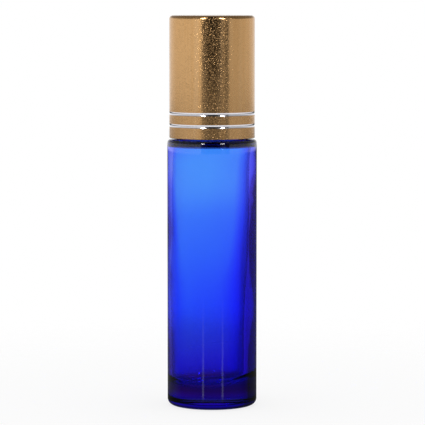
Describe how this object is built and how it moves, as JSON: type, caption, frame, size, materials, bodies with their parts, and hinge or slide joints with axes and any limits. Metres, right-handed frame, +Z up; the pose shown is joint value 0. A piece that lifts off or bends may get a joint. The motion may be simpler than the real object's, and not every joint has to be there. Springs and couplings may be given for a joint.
{
  "type": "roll-on bottle",
  "caption": "Tall cylindrical roll-on bottle in thick dark blue glass, with a ball in its neck and a gold metal screw cap with silver bands.",
  "frame": {"origin": "centre of the base, on the surface that the bottle stands on", "axes": "+Z up along the bottle's axis, towards the cap; the picture looks along +Y"},
  "size_m": [0.0198, 0.0198, 0.0865],
  "materials": {
    "cobalt_glass": "clear, polished, coloured through",
    "natural_polyethylene": "moulded, milky",
    "polished_steel": "ground and polished",
    "white_foam": "closed-cell foam",
    "white_polypropylene": "moulded, satin",
    "gold_anodised_aluminium": "drawn, fine brushed grain, anodised gold, with two bright cut bands"
  },
  "bodies": {
    "bottle": {"glass_bottle": "cobalt_glass", "roller_housing": "natural_polyethylene"},
    "ball": {"roller_ball": "polished_steel"},
    "pad": {"sealing_pad": "white_foam"},
    "cap": {"cap_liner": "white_polypropylene", "cap_shell": "gold_anodised_aluminium"}
  },
  "joints": [
    {"name": "ball_roll", "type": "hinge", "parent": "bottle", "child": "ball", "pos_m": [0, 0, 0.0715], "axis": [1, 0, 0], "continuous": true},
    {"name": "cap_lift", "type": "slide", "parent": "bottle", "child": "pad", "axis": [0, 0, 1], "range_m": [0, 0.02]},
    {"name": "cap_turn", "type": "hinge", "parent": "pad", "child": "cap", "pos_m": [0, 0, 0.0715], "axis": [0, 0, 1], "range_deg": [0, 2880]}
  ],
  "couplings": [
    {"joint": "cap_turn", "follows": "cap_lift", "rad_per_m": 2513.3}
  ]
}
